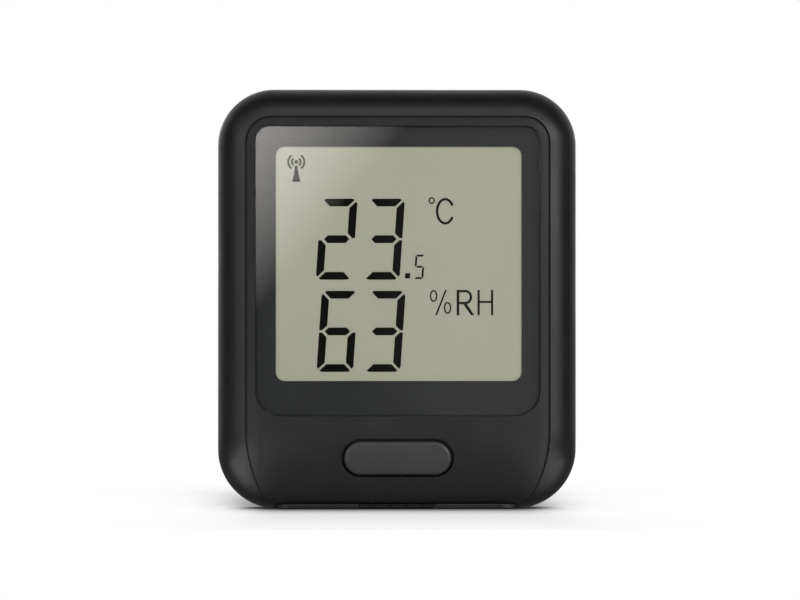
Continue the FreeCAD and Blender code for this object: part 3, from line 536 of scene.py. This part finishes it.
class Signs:
    """Flat dark shapes on the display cell, gathered into one mesh."""

    def __init__(self):
        self.mesh = bmesh.new()

    def shape(self, points):
        """A filled outline, given in millimetres."""
        slab(self.mesh, in_metres(points), face_y - FILM, face_y)

    def stroke(self, points, width, closed=False):
        """A line of even width along points, as one strip."""
        left = []
        right = []
        count = len(points)
        for number in range(count):
            before = points[number - 1] if closed or number > 0 else points[number]
            after = points[(number + 1) % count] if closed or number < count - 1 else points[number]
            along = Vector((after[0] - before[0], after[1] - before[1])).normalized()
            aside = Vector((-along.y, along.x)) * width / 2
            left.append((points[number][0] + aside.x, points[number][1] + aside.y))
            right.append((points[number][0] - aside.x, points[number][1] - aside.y))
        if closed:
            border(self.mesh, in_metres(left), in_metres(right), face_y - FILM, face_y)
        else:
            self.shape(left + right[::-1])

    def piece(self, name):
        return piece(name, finished(self.mesh, name), segment_black, HOUSING)


# The lit segments of each digit: a at the top, b to f round from it clockwise, and g in the middle
LIT = {
    "2": "abged",
    "3": "abgcd",
    "5": "afgcd",
    "6": "afgedc",
}


def digit_segments(width, height, thick, gap):
    """Outlines of a seven-segment digit's segments, upright, from its lower left corner."""
    chamfer = thick / 6
    run = thick * 0.3
    tip = gap + chamfer
    level = height / 2
    split = gap * 0.7
    blunt = 0.38 * thick
    point = 0.72 * thick
    shoulder = 1.22 * thick
    wide = width - thick
    top = height - thick
    shapes = {
        "a": [(tip, height - chamfer), (tip + run, height), (width - tip - run, height),
              (width - tip, height - chamfer), (wide - gap, top), (thick + gap, top)],
        "b": [(width - chamfer, height - tip), (width, height - tip - run), (width, level + split),
              (width - blunt, level + split), (wide, level + split + thick - blunt), (wide, top - gap)],
        "g": [(point, level), (shoulder, level + thick / 2), (width - shoulder, level + thick / 2),
              (width - point, level), (width - shoulder, level - thick / 2), (shoulder, level - thick / 2)],
    }
    shapes["d"] = [(x, height - z) for x, z in shapes["a"]]
    shapes["c"] = [(x, height - z) for x, z in shapes["b"]]
    shapes["f"] = [(width - x, z) for x, z in shapes["b"]]
    shapes["e"] = [(width - x, z) for x, z in shapes["c"]]
    return shapes


def draw_digit(signs, value, x, z, size):
    shapes = digit_segments(*size)
    for name in LIT[value]:
        signs.shape([(x + across + SLANT * up, z + up) for across, up in shapes[name]])


def arc(x, z, reach_x, reach_z, start, end, steps=24):
    points = []
    for step in range(steps + 1):
        angle = math.radians(start + (end - start) * step / steps)
        points.append((x + reach_x * math.cos(angle), z + reach_z * math.sin(angle)))
    return points


def oval(x, z, reach_x, reach_z, steps=28):
    return arc(x, z, reach_x, reach_z, 0, 360, steps)[:-1]


# A digit's width, height, segment thickness and gaps, and the step from one large digit to the next
LARGE_DIGIT = (7.12, 15.78, 1.5, 0.31)
SMALL_DIGIT = (1.83, 4.75, 0.38, 0.08)
PITCH = 9.22
# Lower left corners of the two rows and of the tenths
UPPER = (-15.99, 44.84)
LOWER = (-15.85, 26.88)
TENTHS = (3.15, 44.97)
DECIMAL_POINT = [(1.39, 45.09), (2.38, 45.09), (2.45, 46.1), (1.46, 46.1)]


def large_digits(text, x, z):
    signs = Signs()
    for place, value in enumerate(text):
        draw_digit(signs, value, x + place * PITCH, z, LARGE_DIGIT)
    return signs


temperature = large_digits("23", *UPPER)
draw_digit(temperature, "5", *TENTHS, SMALL_DIGIT)
temperature.shape(DECIMAL_POINT)
temperature.piece("temperature_digits")
large_digits("63", *LOWER).piece("humidity_digits")

degrees = Signs()
degrees.stroke(oval(6.62, 60.25, 0.50, 0.52), 0.28, closed=True)
degrees.stroke(arc(9.26, 58.17, 1.60, 2.36, 28, 332), 0.48)
degrees.piece("degree_sign")

# The humidity sign: foot and top of its letters, and the width of the bowl's line
LETTER_LOW = 37.92
LETTER_HIGH = 42.85
BAR = 0.47
humid = Signs()
humid.stroke(oval(6.99, 41.67, 0.59, 1.03), 0.29, closed=True)
humid.stroke(oval(9.72, 39.34, 0.59, 1.03), 0.29, closed=True)
humid.stroke([(7.48, LETTER_LOW), (9.4, LETTER_HIGH)], 0.33)
humid.stroke([(11.74, LETTER_LOW), (11.74, LETTER_HIGH)], 0.5)
bowl = [(11.99, LETTER_HIGH - BAR / 2)] + arc(13.2, 41.45, 1.06, 1.17, 90, -90, 16) + [(11.99, 40.28)]
humid.stroke(bowl, BAR)
humid.shape([(12.82, 40.05), (13.5, 40.05), (14.92, LETTER_LOW), (14.28, LETTER_LOW)])
humid.stroke([(15.77, LETTER_LOW), (15.77, LETTER_HIGH)], 0.44)
humid.stroke([(18.4, LETTER_LOW), (18.4, LETTER_HIGH)], 0.44)
humid.stroke([(15.99, 40.5), (18.18, 40.5)], 0.4)
humid.piece("humidity_sign")

# The antenna sign: where its mast stands, and the height of the dot on it
MAST_X = -19.77
DOT_Z = 67.77
signal = Signs()
signal.shape(oval(MAST_X, DOT_Z, 0.36, 0.36, 16))
for reach, spread in ((0.84, 53), (1.57, 54)):
    for turn in (0, 180):
        signal.stroke(arc(MAST_X, DOT_Z, reach, reach, turn - spread, turn + spread, 14), 0.38)
signal.shape([(MAST_X - 0.82, 63.9), (MAST_X + 0.82, 63.9), (MAST_X + 0.46, 65.22), (MAST_X + 0.26, 66.87),
              (MAST_X + 0.18, 67.04), (MAST_X - 0.18, 67.04), (MAST_X - 0.26, 66.87), (MAST_X - 0.46, 65.22)])
signal.piece("signal_sign")


# Stage: floor, lamps, surroundings

class Stage(Nodes):
    """The nodes of what stands round the object: a material's, or the world's."""

    def __init__(self, holder):
        super().__init__(holder)
        self.tree.nodes.clear()

    def rays(self):
        """Which rays are the camera's, also through glass, and which show in mirrors."""
        seen = self.node("ShaderNodeLightPath").outputs
        direct = self.combine("MAXIMUM", seen["Is Camera Ray"], seen["Is Transmission Ray"])
        return direct, seen["Is Glossy Ray"]

    def axes(self, kind):
        """X, Y and Z of a kind of texture coordinates."""
        split = self.node("ShaderNodeSeparateXYZ")
        self.join(self.node("ShaderNodeTexCoord").outputs[kind], split.inputs[0])
        return split.outputs

    def ramp(self, source, start, end):
        """Rises softly from 0 at the start to 1 at the end."""
        made = self.node("ShaderNodeMapRange", interpolation_type="SMOOTHSTEP")
        made.inputs["From Min"].default_value = start
        made.inputs["From Max"].default_value = end
        self.join(source, made.inputs["Value"])
        return made.outputs["Result"]

    def patches(self, rows):
        """Adds up patches, each a level inside soft limits: a source, its start and its end."""
        whole = 0.0
        for level, *limits in rows:
            for source, start, end in limits:
                level = self.combine("MULTIPLY", level, self.ramp(source, start, end))
            whole = self.combine("ADD", whole, level)
        return whole

    def curve(self, source, points):
        """Straight lines through points, and level beyond the first and the last."""
        first = points[0][0]
        length = points[-1][0] - first
        made = self.node("ShaderNodeFloatCurve")
        line = made.mapping.curves[0]
        spots = [((place - first) / length, level) for place, level in points]
        for spot in spots[1:-1]:
            line.points.new(*spot)
        for point, spot in zip(line.points, spots):
            point.location = spot
            point.handle_type = "VECTOR"
        made.mapping.extend = "HORIZONTAL"
        made.mapping.update()
        share = self.combine("DIVIDE", self.combine("SUBTRACT", source, first), length)
        self.join(share, made.inputs["Value"])
        return made.outputs["Value"]

    def glow(self, kind, strength, tint):
        """A shader that gives off light."""
        made = self.node(kind)
        made.inputs["Color"].default_value = tint
        self.join(strength, made.inputs["Strength"])
        return made.outputs[0]


WHITE = (1, 1, 1, 1)

# Contact shadow: how far it reaches, and how white the floor shows by the share of its sky that is open
CONTACT_REACH = 4 * MM
CONTACT_SAMPLES = 16
CONTACT_SHADE = ((0.0, 0.02), (0.3, 0.4), (0.5, 0.75), (1.0, 1.0))
# Soft shadow, in metres: its depth from ahead of the object to behind it, and its share out to either side
POOL_DEPTH = ((-0.160, 0.0), (-0.124, 0.0), (-0.114, 0.02), (-0.106, 0.09), (-0.095, 0.105), (-0.075, 0.13),
              (-0.054, 0.19), (-0.043, 0.21), (-0.033, 0.26), (-0.022, 0.41), (-0.016, 0.57), (-0.011, 0.78),
              (-0.004, 0.80), (0.012, 0.78), (0.030, 0.74), (0.050, 0.70), (0.070, 0.52), (0.095, 0.28),
              (0.125, 0.08), (0.160, 0.0))
POOL_SHARE = ((0.0, 1.0), (0.0225, 1.0), (0.024, 0.96), (0.0252, 0.88), (0.0268, 0.76), (0.0283, 0.59),
              (0.030, 0.42), (0.0315, 0.31), (0.033, 0.22), (0.0346, 0.15), (0.0362, 0.10), (0.038, 0.065),
              (0.040, 0.04), (0.044, 0.015), (0.050, 0.0))
# How far out it has its full depth, how much wider it is beside and behind the object than
# ahead of it, and between which places it widens
POOL_CORE = 22.5 * MM
POOL_FLARE = 3 * MM
POOL_FLARES = (-0.004, 0.024)
# How much softer it gets ahead of the object and behind it, and between which places
POOL_SOFTER_AHEAD = (0.8, -0.02, -0.10)
POOL_SOFTER_BEHIND = (0.9, 0.05, 0.13)

# The floor's size, how far it lies below the object's foot, and the share of other light that it gives back
FLOOR_SIZE = 12
FLOOR_DROP = 0.02 * MM
FLOOR_BOUNCE = 0.4


def floor_shade(stage, across, back):
    """How white the camera sees the floor: dark where the object touches it, soft further out."""
    sky = stage.node("ShaderNodeAmbientOcclusion", samples=CONTACT_SAMPLES)
    sky.inputs["Distance"].default_value = CONTACT_REACH
    touch = stage.curve(sky.outputs["AO"], CONTACT_SHADE)
    softer = [(level, (back, start, end)) for level, start, end in (POOL_SOFTER_AHEAD, POOL_SOFTER_BEHIND)]
    softness = stage.combine("ADD", 1.0, stage.patches(softer))
    flare = stage.combine("MULTIPLY", stage.ramp(back, *POOL_FLARES), POOL_FLARE)
    width = stage.combine("SUBTRACT", stage.combine("ABSOLUTE", across), flare)
    outer = stage.combine("DIVIDE", stage.combine("SUBTRACT", width, POOL_CORE), softness)
    aside = stage.combine("ADD", outer, POOL_CORE)
    pool = stage.combine("MULTIPLY", stage.curve(back, POOL_DEPTH), stage.curve(aside, POOL_SHARE))
    return stage.combine("MULTIPLY", touch, stage.combine("SUBTRACT", 1.0, pool))


def floor_mirrored(stage, across, back):
    """The lit patches that mirrors see in the floor, in metres from the object's middle."""
    ahead = (back, -0.005, -0.012)
    return stage.patches((
        # left of the object, near and far
        (2.16, (across, -0.024, -0.034), (across, -0.060, -0.050), ahead),
        (0.40, (across, -0.050, -0.060), ahead),
        # right of it, near and far
        (1.71, (across, 0.024, 0.034), (across, 0.060, 0.050), ahead),
        (0.16, (across, 0.050, 0.060), ahead),
        # straight ahead of it, further off
        (0.40, (across, -0.034, -0.024), (across, 0.034, 0.024), (back, -0.080, -0.060), ahead),
        # all that lies beside and behind it
        (0.16, (back, -0.012, -0.005)),
    ))


def floor_material():
    """White to the camera, with the object's shadow, and clear from below; mirrors see lit patches."""
    made = bpy.data.materials.new("floor_white")
    stage = Stage(made)
    direct, mirror = stage.rays()
    across, back, _ = stage.axes("Object")
    shown = stage.combine("MULTIPLY", direct, floor_shade(stage, across, back))
    hidden = stage.combine("MULTIPLY", mirror, floor_mirrored(stage, across, back))
    glow = stage.glow("ShaderNodeEmission", stage.combine("ADD", shown, hidden), WHITE)
    bounce = stage.node("ShaderNodeBsdfDiffuse")
    bounce.inputs["Color"].default_value = (FLOOR_BOUNCE, FLOOR_BOUNCE, FLOOR_BOUNCE, 1)
    above = stage.mixed(stage.combine("MAXIMUM", direct, mirror), bounce.outputs[0], glow)
    clear = stage.node("ShaderNodeBsdfTransparent").outputs[0]
    below = stage.combine("MULTIPLY", direct, stage.node("ShaderNodeNewGeometry").outputs["Backfacing"])
    whole = stage.mixed(below, above, clear)
    stage.join(whole, stage.node("ShaderNodeOutputMaterial").inputs["Surface"])
    return made


def plane(name, width, height):
    """A flat sheet of the stage."""
    mesh = bmesh.new()
    corners = ((-1, -1), (1, -1), (1, 1), (-1, 1))
    mesh.faces.new([mesh.verts.new((x * width / 2, y * height / 2, 0)) for x, y in corners])
    data = bpy.data.meshes.new(name)
    mesh.to_mesh(data)
    mesh.free()
    made = bpy.data.objects.new(name, data)
    bpy.context.scene.collection.objects.link(made)
    return made


floor = plane("floor", FLOOR_SIZE, FLOOR_SIZE)
floor.location.z = -FLOOR_DROP
floor.data.materials.append(floor_material())


def aimed(thing, place, target=middle):
    """Puts a lamp, the card or the camera in its place, turned to the target."""
    thing.location = place
    thing.rotation_euler = (Vector(target) - Vector(place)).to_track_quat("-Z", "Y").to_euler()


def around(distance, azimuth, elevation=0):
    """A step of the given length, at angles in degrees: round to the right of the front, and up."""
    turn = math.radians(azimuth)
    rise = math.radians(elevation)
    level = distance * math.cos(rise)
    return Vector((level * math.sin(turn), -level * math.cos(turn), distance * math.sin(rise)))


LAMP_DISTANCE = 0.8


def lamp(name, radiance, azimuth, elevation, wide, tall):
    """A soft lamp of even radiance that fills the given angles, as seen from the case."""
    data = bpy.data.lights.new(name, "AREA")
    data.shape = "RECTANGLE"
    data.size = 2 * LAMP_DISTANCE * math.tan(math.radians(wide / 2))
    data.size_y = 2 * LAMP_DISTANCE * math.tan(math.radians(tall / 2))
    data.energy = radiance * math.pi * data.size * data.size_y
    made = bpy.data.objects.new(name, data)
    bpy.context.scene.collection.objects.link(made)
    made.visible_camera = False
    aimed(made, middle + around(LAMP_DISTANCE, azimuth, elevation))


lamp("lamp_top", 1.03, 0, 40, 44, 20)
lamp("lamp_left_front", 2.07, -30, 12, 20, 20)
lamp("lamp_left_side", 0.98, -50, 12, 20, 20)
lamp("lamp_left_high", 0.59, -70, 32, 20, 20)
lamp("lamp_right_front", 5.81, 30, 12, 20, 20)
lamp("lamp_right_side", 3.82, 50, 12, 20, 20)
lamp("lamp_back_top", 0.25, 180, 45, 50, 25)
lamp("lamp_back_left", 0.35, -140, 15, 40, 40)
lamp("lamp_back_right", 0.25, 140, 15, 40, 40)


# A small card ahead of the object, whose fading light shows in the window's upper left.
# Its radiance rises by the slope in each metre to the right and up, from none at a height
# over the object's middle to the most, and a faint glow rises toward its right side.
CARD_PLACE = Vector((0.018, -0.900, 0.052))
CARD_SIZE = (0.150, 0.110)
CARD_TINT = (1, 0.975, 0.955, 1)
CARD_SLOPE = (-86.8, 71.1)
CARD_NONE = 0.0639
CARD_RADIANCE = 4.5
CARD_SIDE = 0.18
CARD_SIDE_RISES = (-0.010, 0.035)
# The places between which its left end is cut off
CARD_CUT = (-0.052, -0.050)


def card_material():
    made = bpy.data.materials.new("card_glow")
    stage = Stage(made)
    across, up, _ = stage.axes("Object")
    middle_radiance = CARD_SLOPE[0] * CARD_PLACE.x + CARD_SLOPE[1] * (CARD_PLACE.z - CARD_NONE)
    sideways = stage.combine("MULTIPLY", across, CARD_SLOPE[0])
    upward = stage.combine("MULTIPLY", up, CARD_SLOPE[1])
    radiance = stage.combine("ADD", stage.combine("ADD", sideways, upward), middle_radiance)
    radiance = stage.combine("MINIMUM", stage.combine("MAXIMUM", radiance, 0.0), CARD_RADIANCE)
    side = stage.combine("MULTIPLY", stage.ramp(across, *CARD_SIDE_RISES), CARD_SIDE)
    strength = stage.combine("MULTIPLY", stage.ramp(across, *CARD_CUT), stage.combine("ADD", radiance, side))
    glow = stage.glow("ShaderNodeEmission", strength, CARD_TINT)
    stage.join(glow, stage.node("ShaderNodeOutputMaterial").inputs["Surface"])
    return made


card = plane("card", *CARD_SIZE)
aimed(card, CARD_PLACE, (CARD_PLACE.x, 0, CARD_PLACE.z))
card.data.materials.append(card_material())
card.visible_camera = False
card.visible_diffuse = False

# Soft light from all round
AMBIENT = 0.74


def surroundings():
    """White to the camera, dim bands from front to back for mirrors, even for soft light."""
    world = bpy.data.worlds.new("surroundings")
    bpy.context.scene.world = world
    stage = Stage(world)
    direct, mirror = stage.rays()
    _, back, _ = stage.axes("Generated")
    # Bands ahead of the object, beside it, behind it and straight behind it
    mirrored = stage.patches((
        (0.73, (back, -0.94, -0.80), (back, -0.40, -0.60)),
        (0.05, (back, -0.10, 0.10), (back, 0.50, 0.30)),
        (0.40, (back, 0.30, 0.50)),
        (1.60, (back, 0.88, 0.96)),
    ))
    spread = stage.combine("SUBTRACT", 1.0, stage.combine("MAXIMUM", direct, mirror))
    hidden = stage.combine("ADD", stage.combine("MULTIPLY", mirror, mirrored),
                           stage.combine("MULTIPLY", spread, AMBIENT))
    glow = stage.glow("ShaderNodeBackground", stage.combine("ADD", direct, hidden), WHITE)
    stage.join(glow, stage.node("ShaderNodeOutputWorld").inputs["Surface"])


surroundings()


# Camera: where it stands, the width that it sees at the object, and the point that it looks at

DISTANCE = 1.200
AZIMUTH = -1.7
VIEW_WIDTH = 0.15715
SENSOR_WIDTH = 36
AIM = Vector((0.73 * MM, 0, 40.88 * MM))

camera_data = bpy.data.cameras.new("camera")
camera_data.sensor_width = SENSOR_WIDTH
camera_data.lens = SENSOR_WIDTH * DISTANCE / VIEW_WIDTH
camera = bpy.data.objects.new("camera", camera_data)
bpy.context.scene.collection.objects.link(camera)
aimed(camera, AIM + around(DISTANCE, AZIMUTH), AIM)
bpy.context.scene.camera = camera
bpy.context.scene.view_settings.view_transform = "Standard"
